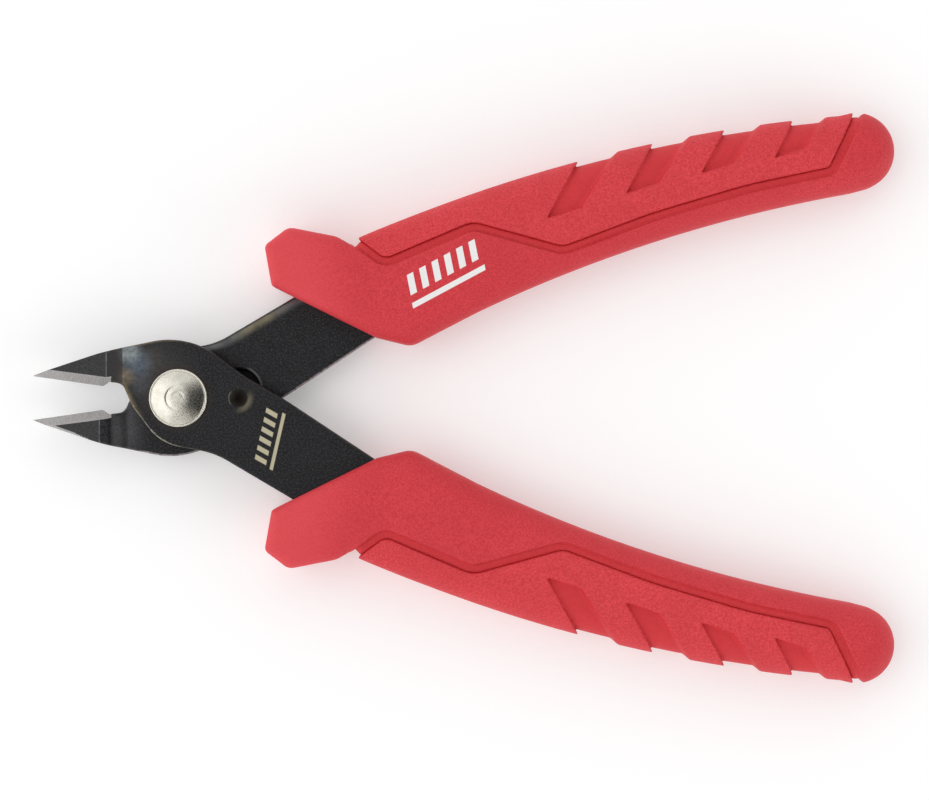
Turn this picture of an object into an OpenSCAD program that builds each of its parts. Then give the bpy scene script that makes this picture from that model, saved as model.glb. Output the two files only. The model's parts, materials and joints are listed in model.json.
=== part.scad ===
// Mini flush cutting pliers: two stamped steel halves on a rivet, a hidden
// return spring, and a moulded grip with an outer pad on each handle.
//
// Each half is drawn closed and flat, with its handle above the X axis, its
// jaw below it and the pivot at the origin. The rear half is that drawing
// turned open; the front half is the same drawing turned over and turned open.

/* [Opening] */
// Angle between the cutting edges at rest, in degrees
open_angle = 16.4; // [8:0.2:18]
// Gap left between the cutting edges when closed
edge_gap = 0.05; // [0.02:0.01:0.1]

/* [Steel halves] */
// Thickness of the steel plate
plate_t = 2.5; // [2.2:0.1:2.8]
// Distance from the pivot to the tips of the jaws
jaw_len = 22.8; // [21.5:0.1:23.5]
// Distance from the pivot to the heel of the cutting edges
heel_x = 12; // [11.8:0.1:12.6]
// Height of the bare steel bevel beside a cutting edge
bevel_w = 1.45; // [1:0.05:1.8]
// Reach of the lapped part of a half beyond the pivot
lap_r = 7.3; // [7:0.1:7.5]
// How much thinner the bevelled side of the jaw is at its tip
jaw_taper = 0.3; // [0:0.05:0.5]
// Gap between the faces of the two halves
face_gap = 0.06; // [0.04:0.01:0.1]

/* [Rivet] */
// Radius of the shank
shank_r = 2.6; // [2.2:0.1:3]
// Radius of the domed front head
head_r = 4.4; // [4:0.1:5]
// Height of the domed front head
head_h = 1.2; // [0.9:0.1:1.4]
// Radial clearance of the shank in the moving half
running_clearance = 0.04; // [0.02:0.01:0.08]

/* [Return spring] */
// Distance from the pivot to the spring's stud
stud_x = 9.15; // [9:0.05:9.4]
// Radius of the stud
stud_r = 1.25; // [1:0.05:1.3]
// Radius of the spring's wire
wire_r = 0.2; // [0.15:0.05:0.2]
// Mean radius of the spring's coil
coil_r = 1.55; // [1.55:0.05:1.6]
// Number of turns in the coil
coil_turns = 2.25; // [2.25]

/* [Grips] */
// Thickness of a grip, and the height the tool stands on a table
grip_t = 10.5; // [10:0.1:12]
// Radius of the rounded edges of a grip, behind its thumb flare
grip_edge_r = 3.6; // [3:0.1:4]
// Width of the channel around the outer pad
channel_w = 1.3; // [1:0.1:1.8]
// Depth of that channel and of the finger recesses
channel_depth = 0.7; // [0.4:0.05:0.9]
// Thickness of the outer pad
pad_depth = 1.9; // [1.6:0.1:2]

/* [Hidden] */
$fn = 64;

half_open = open_angle / 2;
half_t = plate_t / 2;
half_gap = face_gap / 2;
slip = 0.05;
black_steel = [0.10, 0.10, 0.11];
bright_steel = [0.78, 0.77, 0.74];
grip_red = [0.80, 0.13, 0.16];
pad_red = [0.74, 0.11, 0.14];

// ---- plane geometry ----

arc_step = 7;

function unit(v) = v / norm(v);
function wrap(a) = a > 180 ? a - 360 : a < -180 ? a + 360 : a;
function flat(p) = [p.x, p.y];
function turn(a, v) = [v.x * cos(a) - v.y * sin(a), v.x * sin(a) + v.y * cos(a)];
function arc(c, r, a0, sweep) =
    let (n = max(2, ceil(abs(sweep) / arc_step)))
    [for (i = [0:n]) c + r * [cos(a0 + sweep * i / n), sin(a0 + sweep * i / n)]];

// A corner at p, between a and b, rounded to radius r
function corner(a, p, b, r) =
    let (u = unit(a - p), v = unit(b - p), half = acos(u * v) / 2)
    r <= 0 ? [p] :
    let (c = p + unit(u + v) * r / sin(half), s = p + u * r / tan(half) - c, e = p + v * r / tan(half) - c,
         a0 = atan2(s.y, s.x))
    arc(c, r, a0, wrap(atan2(e.y, e.x) - a0));

// A closed outline of [x, y, radius] corners
function rounded(p) =
    let (n = len(p))
    [for (i = [0:n - 1]) each corner(flat(p[(i + n - 1) % n]), flat(p[i]), flat(p[(i + 1) % n]), p[i].z)];

// ---- steel halves ----

tang_end = [88, 19.4, 24.8];

half_outline = rounded([
    // cutting edge and relief behind the heel
    [-jaw_len, -edge_gap / 2, 0],
    [-heel_x, -edge_gap / 2, 0],
    [-heel_x + 0.9, -0.9, 0.3],
    [-8.7, -0.95, 1.5],
    // lapped part, flattened towards the jaw
    [-6.75, 2.2, 4],
    [-1.75, lap_r - 0.1, 7.5],
    // outer edge of the arm and the tang
    [6.6, lap_r + 0.2, 12],
    [29, 16.7, 4],
    [45, 18.3, 20],
    [60, 21.1, 40],
    [tang_end.x, tang_end.z, 2.6],
    // inner edge of the tang and the arm
    [tang_end.x, tang_end.y, 2.6],
    [60, 15.7, 40],
    [45, 12.2, 30],
    [30.4, 4.75, 6],
    [16.4, -1.85, 20],
    // shoulder over the lapped part and outer edge of the jaw
    [9.4, -4.75, 0],
    [0, -9.8, 12],
    [-12.6, -5.25, 30]
]);

// Side view of a half: flat at the disc, stepped to the middle plane at the jaw.
// side is 1 when the bevelled face of the jaw is the inner one, -1 when it is the outer one.
inner_bend = [-8, -10.4];
outer_bend = [-8.4, -11.05];
taper_start = -12.1;
far = 120;
module side_profile(side) {
    tip = -jaw_len - 1;
    jaw = side > 0 ? [[taper_start, half_t], [tip, half_t - jaw_taper], [tip, -half_t]]
        : [[tip, half_t], [tip, jaw_taper - half_t], [taper_start, -half_t]];
    rotate([0, 0, -half_open]) rotate([90, 0, 0]) linear_extrude(height = far, center = true) polygon(concat(
        [[far, -half_gap], [inner_bend[0], -half_gap], [inner_bend[1], half_t]],
        jaw,
        [[outer_bend[1], -half_t], [outer_bend[0], -plate_t], [far, -plate_t]]
    ));
}

// Ground bevel: removes the steel over the slope from the cutting edge up to the jaw's face
bevel_end = -10.6;
module bevel_cut(side) {
    over = 1;
    reach = 2 * over + plate_t;
    slope = bevel_w / plate_t;
    translate([bevel_end, -edge_gap / 2, -side * half_t]) rotate([90, 0, -90])
        linear_extrude(height = jaw_len)
            polygon([[0, 0], [slope * reach, side * reach], [-over, side * reach], [-over, 0]]);
}

module half(side) {
    difference() {
        intersection() {
            translate([0, 0, -plate_t - 1]) linear_extrude(height = 2 * plate_t + 2) polygon(half_outline);
            side_profile(side);
        }
        bevel_cut(side);
    }
}

module place_rear() rotate([0, 0, half_open]) children();
module place_front() rotate([0, 0, -half_open]) rotate([180, 0, 0]) children();

// Shift that puts the origin under the middle of the tool, on the table
end_c = [107.05, 22.4];
end_r = 5.9;
tip_x = -jaw_len * cos(half_open);
end_x = turn(half_open, end_c).x + end_r;
module place() translate([-(tip_x + end_x) / 2, 0, grip_t / 2]) children();

// ---- spring pocket, stud and legs, in the drawing of a closed half ----

pocket_r = 3.3;
pocket_depth = 1.5;
leg_end = [13.5, -1.75];
leg_w = 0.9;
leg_seat_r = 0.6;
stud_h = 1.15;
dimple_r = 1.55;
dimple_depth = 0.9;
leg_a_angle = 162;
leg_hole_r = 0.3;
leg_hole_depth = 1.1;
stud_rest = [stud_x, 0];
leg_a_rest = stud_rest + coil_r * [cos(leg_a_angle), sin(leg_a_angle)];

module spring_pocket() {
    run = leg_end - [stud_x, 0];
    translate([stud_x, 0, -pocket_depth]) {
        cylinder(r = pocket_r, h = pocket_depth + 1);
        rotate([0, 0, atan2(run.y, run.x)]) translate([0, -leg_w / 2, 0])
            cube([norm(run), leg_w, pocket_depth + 1]);
    }
    translate([leg_end.x, leg_end.y, -pocket_depth]) cylinder(r = leg_seat_r, h = pocket_depth + 1);
}

// A point of the rest pose, in the drawing of the front half
function front_drawing(p) = let (q = turn(half_open, p)) [q.x, -q.y];

module rear_blade() {
    color(black_steel) place() place_rear() difference() {
        half(1);
        translate([0, 0, -plate_t - 1]) cylinder(r = shank_r + 0.01, h = plate_t + 2);
        spring_pocket();
    }
}

module front_blade() {
    stud = front_drawing(stud_rest);
    leg_hole = front_drawing(leg_a_rest);
    color(black_steel) place() place_front() {
        difference() {
            union() {
                half(-1);
                translate([stud.x, stud.y, -half_t]) cylinder(r = stud_r, h = half_t + stud_h);
            }
            translate([0, 0, -plate_t - 1]) cylinder(r = shank_r + running_clearance, h = plate_t + 2);
            translate([stud.x, stud.y, -plate_t - 1]) cylinder(r = dimple_r, h = dimple_depth + 1);
            translate([leg_hole.x, leg_hole.y, -leg_hole_depth]) cylinder(r = leg_hole_r, h = leg_hole_depth + 1);
        }
    }
}

// ---- rivet ----

tail_r = 3.9;
tail_h = 0.9;

// Outline of a head from its rim to its crown, for a head that rises from z
function dome(r, h, z) =
    let (rim = h * 0.35, rise = h - rim, ball = (r * r + rise * rise) / (2 * rise))
    [for (i = [0:8]) let (a = asin(r / ball) * (1 - i / 8)) [ball * sin(a), z + h - ball + ball * cos(a)]];

module pivot_rivet() {
    head_z = plate_t + 0.03;
    tail_z = plate_t + 0.01;
    tail = dome(tail_r, tail_h, tail_z);
    color(bright_steel) place() rotate_extrude() polygon(concat(
        [[shank_r, head_z], [head_r, head_z]], dome(head_r, head_h, head_z),
        [for (i = [len(tail) - 1:-1:0]) [tail[i].x, -tail[i].y]],
        [[tail_r, -tail_z], [shank_r, -tail_z]]
    ));
}

// ---- return spring: wire swept along a leg, a coil round the stud and a second leg ----

wire_sides = 8;
turn_points = 16;
coil_top = -half_gap - wire_r - 0.04;
coil_pitch = 2 * wire_r + 0.03;
coil_points = round(coil_turns * turn_points);
// the coil runs down clockwise, and leaves along its tangent towards the end of the leg
leg_b_rest = turn(half_open, leg_end);
leg_run = leg_b_rest - stud_rest;
leave_angle = atan2(leg_run.y, leg_run.x) + acos(coil_r / norm(leg_run));
start_angle = leave_angle + 360 * coil_turns;
coil_path = [for (i = [0:coil_points]) let (k = i / coil_points, a = start_angle - 360 * coil_turns * k)
    [stud_x + coil_r * cos(a), coil_r * sin(a), coil_top - coil_pitch * coil_turns * k]];
coil_end_z = coil_top - coil_pitch * coil_turns;
spring_path = concat(
    [[coil_path[0].x, coil_path[0].y, leg_hole_depth - 0.2]],
    coil_path,
    [[leg_b_rest.x, leg_b_rest.y, coil_end_z]]
);

// A tube along points, closed at both ends
module wire(p, r) {
    n = len(p);
    rings = [for (i = [0:n - 1])
        let (t = unit(p[min(i + 1, n - 1)] - p[max(i - 1, 0)]),
             side = unit(cross(t, abs(t.z) > 0.8 ? [0, 1, 0] : [0, 0, 1])), up = cross(side, t))
        for (k = [0:wire_sides - 1]) let (a = 360 * k / wire_sides) p[i] + r * (cos(a) * side + sin(a) * up)];
    polyhedron(rings, concat(
        [[for (k = [wire_sides - 1:-1:0]) k]],
        [for (i = [0:n - 2], k = [0:wire_sides - 1]) let (a = i * wire_sides, b = (k + 1) % wire_sides)
            [a + k, a + b, a + wire_sides + b, a + wire_sides + k]],
        [[for (k = [0:wire_sides - 1]) (n - 1) * wire_sides + k]]
    ), convexity = 6);
}

module return_spring() color(bright_steel) place() wire(spring_path, wire_r);

// ---- grips ----

grip_x0 = 16.3;
grip_x1 = end_c.x + end_r;
half_grip = grip_t / 2;
nose_r = 2;
flare_edge_r = 1.6;
inner_arc = [112.3, -204.5, 220.9];
outer_arc = [91.9, -200, 228.5];

function circle_y(c, x, sign) = c.y + sign * sqrt(max(0, c.z * c.z - (x - c.x) * (x - c.x)));
end_circle = [end_c.x, end_c.y, end_r];

// Inner edge: front face sloping down to a blunt knuckle, then a straight run into a long arc
front_foot = [16.5, 14.75];
knuckle_front = [30.9, 4.85];
knuckle_rear = [36.1, 2.75];
inner_start = [46.6, 6.4];
inner_front = concat([[grip_x0, 15.8], front_foot], corner(front_foot, knuckle_front, knuckle_rear, 1.5),
    corner(knuckle_front, knuckle_rear, inner_start, 3), [inner_start]);
// Outer edge: thumb flare falling to the notch before the pad
outer_start = 30.2;
outer_front = [[grip_x0, 20.4], [16.7, 21.3], [17.3, 21.85], [18.2, 22.4], [19.4, 22.8], [20.7, 22.9], [21.8, 22.6],
               [24, 21.85], [27.2, 20.75], [28.2, 20], [29.1, 19.4], [29.8, 19.6], [outer_start, 20.02]];

function y_in(x) = x > end_c.x ? circle_y(end_circle, x, -1) : x > inner_start.x ? circle_y(inner_arc, x, 1)
    : lookup(x, inner_front);
function y_out(x) =
    x > end_c.x ? circle_y(end_circle, x, 1) :
    x > 100 ? min(circle_y(outer_arc, x, 1), end_c.y + end_r + (end_c.x - x) * 0.08) :
    x > outer_start ? circle_y(outer_arc, x, 1) : lookup(x, outer_front);
// Half the thickness: full along the grip, rounded down at both ends
function z_half(x) =
    let (d = min(x - grip_x0 + 0.4, grip_x1 - x + 0.25))
    half_grip - (d < nose_r ? nose_r - sqrt(nose_r * nose_r - (nose_r - d) * (nose_r - d)) : 0);

// Radius of the long edges: smaller at the flare
function edge_radius(x) = lookup(x, [[28, flare_edge_r], [44, grip_edge_r]]);

grip_stations = [0, 0.3, 0.8, 1.5, 2.4, 3.4, 4.4, 5.5, 7.2, 9, 10.9, 11.9, 12.4, 12.8, 13.4, 13.9, 14.6, 16.4, 18.1,
                 18.9, 19.8, 20.7, 22, 24, each [27:4.5:83], 86, 88.6, 90.8, 92.4, 93.7, 94.7, 95.5, 96.1, 96.4];
station_span = 96.5;
edge_steps = 4;

// The grip's form, shrunk by inset: rounded rectangles across the handle, joined along it
module grip_form(inset) {
    x0 = grip_x0 + inset;
    scale_x = (grip_x1 - inset - x0) / station_span;
    sides = 4 * (edge_steps + 1);
    rings = [for (s = grip_stations)
        let (x = x0 + s * scale_x, lo = y_in(x) + inset, hi = y_out(x) - inset, h = z_half(x) - inset,
             r = min(edge_radius(x) - inset / 2, (hi - lo) / 2 - 0.02, h - 0.02))
        for (c = [[hi - r, h - r, 0], [lo + r, h - r, 90], [lo + r, r - h, 180], [hi - r, r - h, 270]],
             k = [0:edge_steps])
            let (a = c.z + 90 * k / edge_steps) [x, c.x + r * cos(a), c.y + r * sin(a)]];
    n = len(grip_stations);
    polyhedron(rings, concat(
        [[for (k = [0:sides - 1]) k]],
        [for (i = [0:n - 2], k = [0:sides - 1]) let (a = i * sides, b = (k + 1) % sides)
            [a + b, a + k, a + sides + k, a + sides + b]],
        [[for (k = [sides - 1:-1:0]) (n - 1) * sides + k]]
    ), convexity = 6);
}

// Everything outward of the channel's centre line
pad_region = rounded([
    [28.2, 21.3, 0], [33.9, 15.65, 2.4], [47.9, 19.35, 3.5], [60.9, 13.7, 3.5], [75, 16.8, 60],
    [90, 19.0, 60], [102.7, 19.8, 1.5], [110.2, 31, 0], [60, 60, 0]
]);
module pad_area(grow) linear_extrude(height = 2 * grip_t, center = true) offset(delta = grow) polygon(pad_region);

// Four finger recesses, each a slanted band that runs over the outer edge
recess_x = [59.1, 71.5, 83.1, 94.4];
recess_y = [18.85, 20.9, 22.25, 22.95];
recess_w = [5.5, 5.2, 5.2, 5];
recess_lean = [6.9, 5.3, 4.4, 3.6];
recess_spread = 1;
module recesses() {
    for (i = [0:3]) {
        top = 30 - recess_y[i];
        lean = recess_lean[i] * top / (28 - recess_y[i]);
        translate([recess_x[i], recess_y[i], 0]) linear_extrude(height = 2 * grip_t, center = true)
            polygon([[0, 0], [recess_w[i], 0.9], [recess_w[i] + recess_spread + lean, top], [lean, top]]);
    }
}

module grip_core() {
    difference() {
        grip_form(0);
        difference() {
            pad_area(channel_w / 2);
            grip_form(channel_depth);
        }
        difference() {
            pad_area(-channel_w / 2);
            grip_form(pad_depth);
        }
        translate([0, 0, -plate_t - slip]) linear_extrude(height = plate_t + 2 * slip)
            offset(delta = slip) polygon(half_outline);
    }
}

module grip_pad() {
    difference() {
        intersection() {
            grip_form(0);
            pad_area(-channel_w / 2 - slip);
        }
        grip_form(pad_depth - 0.02);
        difference() {
            recesses();
            grip_form(channel_depth);
        }
    }
}

module upper_grip_core() color(grip_red) place() place_rear() grip_core();
module upper_grip_pad() color(pad_red) place() place_rear() grip_pad();
module lower_grip_core() color(grip_red) place() place_front() grip_core();
module lower_grip_pad() color(pad_red) place() place_front() grip_pad();

front_blade();
rear_blade();
pivot_rivet();
return_spring();
upper_grip_core();
upper_grip_pad();
lower_grip_core();
lower_grip_pad();
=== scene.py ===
"""Looks of the mini flush cutters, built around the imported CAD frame.

Shapes that belong to one half are drawn closed and flat in millimetres, with the pivot at
the origin, the handle above the X axis and the plate below Z = 0, and then placed as the
rear half or, turned over, as the front half.
"""
import json
import math

import bpy
import numpy as np
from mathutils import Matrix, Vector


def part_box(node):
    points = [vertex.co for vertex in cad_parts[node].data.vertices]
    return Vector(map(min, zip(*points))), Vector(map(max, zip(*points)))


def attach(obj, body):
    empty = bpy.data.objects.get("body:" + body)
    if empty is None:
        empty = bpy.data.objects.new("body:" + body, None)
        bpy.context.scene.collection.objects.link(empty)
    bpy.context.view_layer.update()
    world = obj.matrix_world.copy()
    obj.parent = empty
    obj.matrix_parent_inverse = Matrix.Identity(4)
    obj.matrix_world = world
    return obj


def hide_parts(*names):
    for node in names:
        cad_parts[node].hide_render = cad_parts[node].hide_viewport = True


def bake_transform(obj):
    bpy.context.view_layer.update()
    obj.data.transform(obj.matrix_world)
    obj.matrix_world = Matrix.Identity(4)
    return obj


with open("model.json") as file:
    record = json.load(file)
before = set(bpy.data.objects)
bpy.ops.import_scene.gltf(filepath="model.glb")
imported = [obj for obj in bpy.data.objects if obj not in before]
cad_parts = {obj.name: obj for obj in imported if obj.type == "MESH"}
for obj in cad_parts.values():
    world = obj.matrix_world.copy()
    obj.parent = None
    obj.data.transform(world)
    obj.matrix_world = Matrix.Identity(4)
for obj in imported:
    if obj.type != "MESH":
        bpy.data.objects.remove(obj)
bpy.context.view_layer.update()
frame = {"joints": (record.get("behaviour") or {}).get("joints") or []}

import openvdb
from mathutils import Matrix, Vector

MM = 0.001

# ---- the frame's own facts ----

pivot_joint = frame["joints"][0]
pivot = Vector(pivot_joint["pos_m"])
half_open = math.radians(pivot_joint["range_deg"][1]) / 2
half_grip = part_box("upper_grip_core")[1].z / MM / 2
plate_t = (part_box("front_blade")[1].z - pivot.z) / MM
head_top = (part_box("pivot_rivet")[1].z - pivot.z) / MM
tail_top = (pivot.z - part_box("pivot_rivet")[0].z) / MM
head_r = (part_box("pivot_rivet")[1].x - pivot.x) / MM

REAR = Matrix.Translation(pivot) @ Matrix.Rotation(half_open, 4, "Z") @ Matrix.Scale(MM, 4)
FRONT = (Matrix.Translation(pivot) @ Matrix.Rotation(-half_open, 4, "Z")
         @ Matrix.Rotation(math.pi, 4, "X") @ Matrix.Scale(MM, 4))
REST = Matrix.Translation(pivot) @ Matrix.Scale(MM, 4)

# ---- sizes of the drawing, in millimetres ----

jaw_len, edge_gap = 22.8, 0.05
lap_reach, half_t, face_z = 7.3, 1.25, -0.03
inner_bend, outer_bend, taper_start = (-8.4, -10.4), (-8.4, -11.05), -12.1
jaw_taper, bevel_w, bevel_end = 0.3, 1.45, -10.6
stud_x, stud_r, stud_top = 9.15, 1.25, 1.15
dimple_r, dimple_bore, dimple_depth, sink_slope = 1.5, 1.0, 0.5, 1.0
pocket_r, pocket_depth, leg_end, leg_w, leg_seat_r = 3.1, 1.5, (13.5, -1.75), 0.9, 0.6
shank_r, tail_r = 2.6, 3.9
coil_r, coil_turns, wire_r = 1.55, 2.25, 0.2

# ---- colours, linear ----

OXIDE_DARK, OXIDE_CLOUD = (0.0080, 0.0080, 0.0088), (0.0115, 0.0113, 0.0125)
OXIDE_SPECK = (0.075, 0.076, 0.083)
# painted light: the dimple's lit wall and left rim are painted highlights, its floor painted shade
DIMPLE_WALL_HIGHLIGHT, DIMPLE_RIM_HIGHLIGHT, DIMPLE_FLOOR_SHADE = (0.150, 0.130, 0.085), (0.17, 0.16, 0.13), (0.026, 0.021, 0.016)
# painted light: the burnish is partly painted sheen; the ring round the rivet and the joggle's dark are
# painted shade
BURNISH_AND_SHEEN, RIVET_SHADE_RING, JOGGLE_SHADE = (0.046, 0.044, 0.043), (0.060, 0.038, 0.028), (0.024, 0.021, 0.020)
# the straw along the disc's top edge is a painted highlight
STRAW_EDGE, STRAW_CREST_HIGHLIGHT = (0.21, 0.155, 0.085), (0.20, 0.155, 0.10)
# painted highlight along the rear arm's rolled edge
ARM_SHEEN_GREY, ARM_SHEEN_STRAW = (0.125, 0.127, 0.130), (0.190, 0.165, 0.112)
# painted light: a highlight on the pocket's lip, shade on its floor, sheen on the rear ramp
POCKET_LIP_HIGHLIGHT, POCKET_FLOOR_SHADE, RAMP_SHEEN_GREY = (0.12, 0.12, 0.12), (0.003, 0.003, 0.003), (0.088, 0.086, 0.090)
BEND_GREY, JAW_DARK, JAW_PALE = (0.20, 0.20, 0.20), (0.024, 0.024, 0.025), (0.074, 0.074, 0.076)
# edges rubbed through, with a painted highlight, and painted highlights on the sheared walls
FRONT_RUB_AND_HIGHLIGHT, REAR_RUB_AND_HIGHLIGHT = (0.40, 0.365, 0.30), (0.40, 0.35, 0.36)
FRONT_WALL, REAR_WALL_HIGHLIGHT = (0.05, 0.045, 0.045), (0.42, 0.39, 0.385)
GROUND_DARK, GROUND_PALE, GROUND_PIT = (0.34, 0.325, 0.32), (0.52, 0.50, 0.49), (0.24, 0.23, 0.23)
NICKEL_DARK, NICKEL_PALE = (0.60, 0.575, 0.50), (0.70, 0.675, 0.60)
NICKEL_PIT, NICKEL_STAIN = (0.30, 0.28, 0.23), (0.12, 0.11, 0.085)
WIRE_DARK, WIRE_PALE = (0.45, 0.45, 0.46), (0.65, 0.65, 0.66)
PLATE_INK, GRIP_INK = (0.52, 0.47, 0.33), (0.86, 0.85, 0.84)
CORE_REDS, CHANNEL_RED = ((0.55, 0.022, 0.032), (0.70, 0.050, 0.063)), (0.72, 0.038, 0.046)
# the pad's recess red is darker, as painted shade
PAD_REDS, RECESS_SHADE_RED = ((0.62, 0.025, 0.034), (0.80, 0.064, 0.077)), (0.61, 0.025, 0.032)
# the flare's red is a painted highlight
CLOUD_RED, FLARE_HIGHLIGHT_RED = (0.55, 0.026, 0.035), (0.80, 0.076, 0.092)


# ---- small mesh and node helpers ----

def new_object(name, mesh, material, body, cad_nodes):
    """A piece of the tool, standing for its CAD nodes and riding on its body, if it is given one."""
    piece = bpy.data.objects.new(name, mesh)
    bpy.context.scene.collection.objects.link(piece)
    mesh.materials.append(material)
    if body:
        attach(piece, body)
    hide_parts(*cad_nodes)
    return piece


def drawn_mesh(name, verts, faces):
    """A smooth-shaded mesh, from points in the millimetres of the open tool."""
    mesh = bpy.data.meshes.new(name)
    mesh.from_pydata(verts, [], faces)
    mesh.transform(REST)
    for face in mesh.polygons:
        face.use_smooth = True
    return mesh


class Nodes:
    """A material's node tree, with short ways to add the nodes used here."""

    def __init__(self, name):
        self.material = bpy.data.materials.new(name)
        self.material.use_nodes = True
        self.tree = self.material.node_tree
        self.shader = self.tree.nodes["Principled BSDF"]

    def add(self, kind, **values):
        """A new node of a kind, with some of its settings."""
        node = self.tree.nodes.new(kind)
        for key, value in values.items():
            setattr(node, key, value)
        return node

    def link(self, a, b):
        self.tree.links.new(a, b)

    def set(self, **values):
        """Values that are the same all over, on the shader's own sockets."""
        for key, value in values.items():
            self.shader.inputs[key.replace("_", " ")].default_value = value

    def place(self, matrix):
        """Object coordinates, turned into the millimetres of one of the drawings."""
        inverse = matrix.inverted()
        shift, turn, size = inverse.decompose()
        coords = self.add("ShaderNodeTexCoord").outputs["Object"]
        mapping = self.add("ShaderNodeMapping")
        mapping.inputs["Location"].default_value = shift
        mapping.inputs["Rotation"].default_value = turn.to_euler()
        mapping.inputs["Scale"].default_value = size
        self.link(coords, mapping.inputs["Vector"])
        return mapping.outputs["Vector"]

    def noise(self, vector, scale, detail=3.0, roughness=0.6):
        """Fractal noise, with scale in features for each millimetre."""
        node = self.add("ShaderNodeTexNoise")
        node.inputs["Scale"].default_value = scale
        node.inputs["Detail"].default_value = detail
        node.inputs["Roughness"].default_value = roughness
        self.link(vector, node.inputs["Vector"])
        return node.outputs["Fac"]

    def math(self, operation, a, b=0.0, c=0.0):
        """A Math node's result; a, b and c are sockets or plain numbers."""
        node = self.add("ShaderNodeMath", operation=operation)
        for socket, value in zip(node.inputs, (a, b, c)):
            if isinstance(value, (int, float)):
                socket.default_value = value
            else:
                self.link(value, socket)
        return node.outputs[0]

    def ramp(self, value, low, high, to_low=0.0, to_high=1.0):
        """value from low..high, eased, to to_low..to_high."""
        node = self.add("ShaderNodeMapRange", interpolation_type="SMOOTHSTEP")
        for socket, number in zip(node.inputs[1:5], (low, high, to_low, to_high)):
            socket.default_value = number
        self.link(value, node.inputs[0])
        return node.outputs[0]

    def mix(self, share, a, b):
        """Colour a where share is 0 and colour b where it is 1."""
        node = self.add("ShaderNodeMix", data_type="RGBA")
        self.link(share, node.inputs[0])
        for socket, value in ((node.inputs[6], a), (node.inputs[7], b)):
            if isinstance(value, (tuple, list)):
                socket.default_value = (*value, 1.0)
            else:
                self.link(value, socket)
        return node.outputs[2]

    def near(self, vector, centre, inner, outer):
        """1 within inner of a point, 0 beyond outer."""
        node = self.add("ShaderNodeVectorMath", operation="DISTANCE")
        self.link(vector, node.inputs[0])
        node.inputs[1].default_value = centre
        return self.ramp(node.outputs["Value"], inner, outer, 1.0, 0.0)

    def split(self, vector):
        """The x, y and z of a vector."""
        node = self.add("ShaderNodeSeparateXYZ")
        self.link(vector, node.inputs[0])
        return node.outputs

    def reach(self, vector, x0=0.0):
        """Distance from the upright line through (x0, 0): the rivet's axis, or the stud's."""
        x, y, _ = self.split(vector)
        x = self.math("SUBTRACT", x, x0)
        return self.math("SQRT", self.math("ADD", self.math("MULTIPLY", x, x), self.math("MULTIPLY", y, y)))

    def band(self, value, centre, inner, outer):
        """1 where value is within inner of centre, 0 beyond outer."""
        return self.ramp(self.math("ABSOLUTE", self.math("SUBTRACT", value, centre)), inner, outer, 1, 0)

    def times(self, *masks):
        """Masks and plain numbers, multiplied together."""
        product = masks[0]
        for mask in masks[1:]:
            product = self.math("MULTIPLY", product, mask)
        return product

    def attribute(self, name):
        """A value kept at the mesh's points."""
        return self.add("ShaderNodeAttribute", attribute_name=name).outputs["Fac"]

    def bump(self, height, distance, strength):
        """A normal bumped by a height of 0 to 1, which stands for distance in metres."""
        node = self.add("ShaderNodeBump")
        node.inputs["Distance"].default_value = distance
        node.inputs["Strength"].default_value = strength
        self.link(height, node.inputs["Height"])
        return node.outputs["Normal"]


# ---- steel materials ----

def oxide_colour(m, rest):
    """Dark oxide: cloudy, with fine pale specks."""
    cloud = m.noise(rest, 0.3, 3)
    fine = m.noise(rest, 3.6, 3, 0.8)
    colour = m.mix(m.ramp(cloud, 0.3, 0.75), OXIDE_DARK, OXIDE_CLOUD)
    return m.mix(m.ramp(fine, 0.40, 0.74, 0, 0.55), colour, OXIDE_SPECK)


def dimple_light_and_shade(m, colour, rest):
    """The dimple behind the spring's stud, in painted light: a painted highlight on its lower right wall and
    on its left rim, and painted shade on its floor.
    """
    x, y, _ = m.split(rest)
    away = m.reach(rest, stud_x)
    lower_right = m.math("MULTIPLY_ADD", y, -0.6, m.math("MULTIPLY", m.math("SUBTRACT", x, stud_x), 0.8))
    # painted highlight on the dimple's lower right wall, which faces the key light
    lit_wall = m.times(m.band(away, dimple_r + 0.15, 0.05, 0.85), m.ramp(lower_right, 0.4, 1.8), 0.75)
    colour = m.mix(lit_wall, colour, DIMPLE_WALL_HIGHLIGHT)
    rim = m.times(m.band(away, dimple_r, 0.03, 0.14), m.ramp(x, stud_x - 1.4, stud_x - 0.9, 1, 0), 0.8)
    colour = m.mix(rim, colour, DIMPLE_RIM_HIGHLIGHT)
    return m.mix(m.ramp(away, dimple_r - 0.3, dimple_r - 0.05, 0.85, 0), colour, DIMPLE_FLOOR_SHADE)


# Tints on the front half's disc, partly left by hardening and partly painted sheen: place on the open tool,
# inner and outer radius, colour and share
tint_and_sheen_spots = (((-4.2, 5.8, plate_t), 0.2, 3.0, (0.072, 0.062, 0.055), 0.75),
              ((-6.2, 5.2, plate_t), 0.3, 3.2, (0.118, 0.150, 0.195), 0.85),
              ((-7.4, 7.0, plate_t), 0.4, 2.4, (0.310, 0.350, 0.355), 0.85),
              ((-5.6, 2.2, plate_t), 0.2, 2.6, (0.085, 0.088, 0.098), 0.70),
              ((-7.9, 3.3, plate_t), 0.1, 2.0, (0.240, 0.190, 0.125), 0.75))


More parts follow.
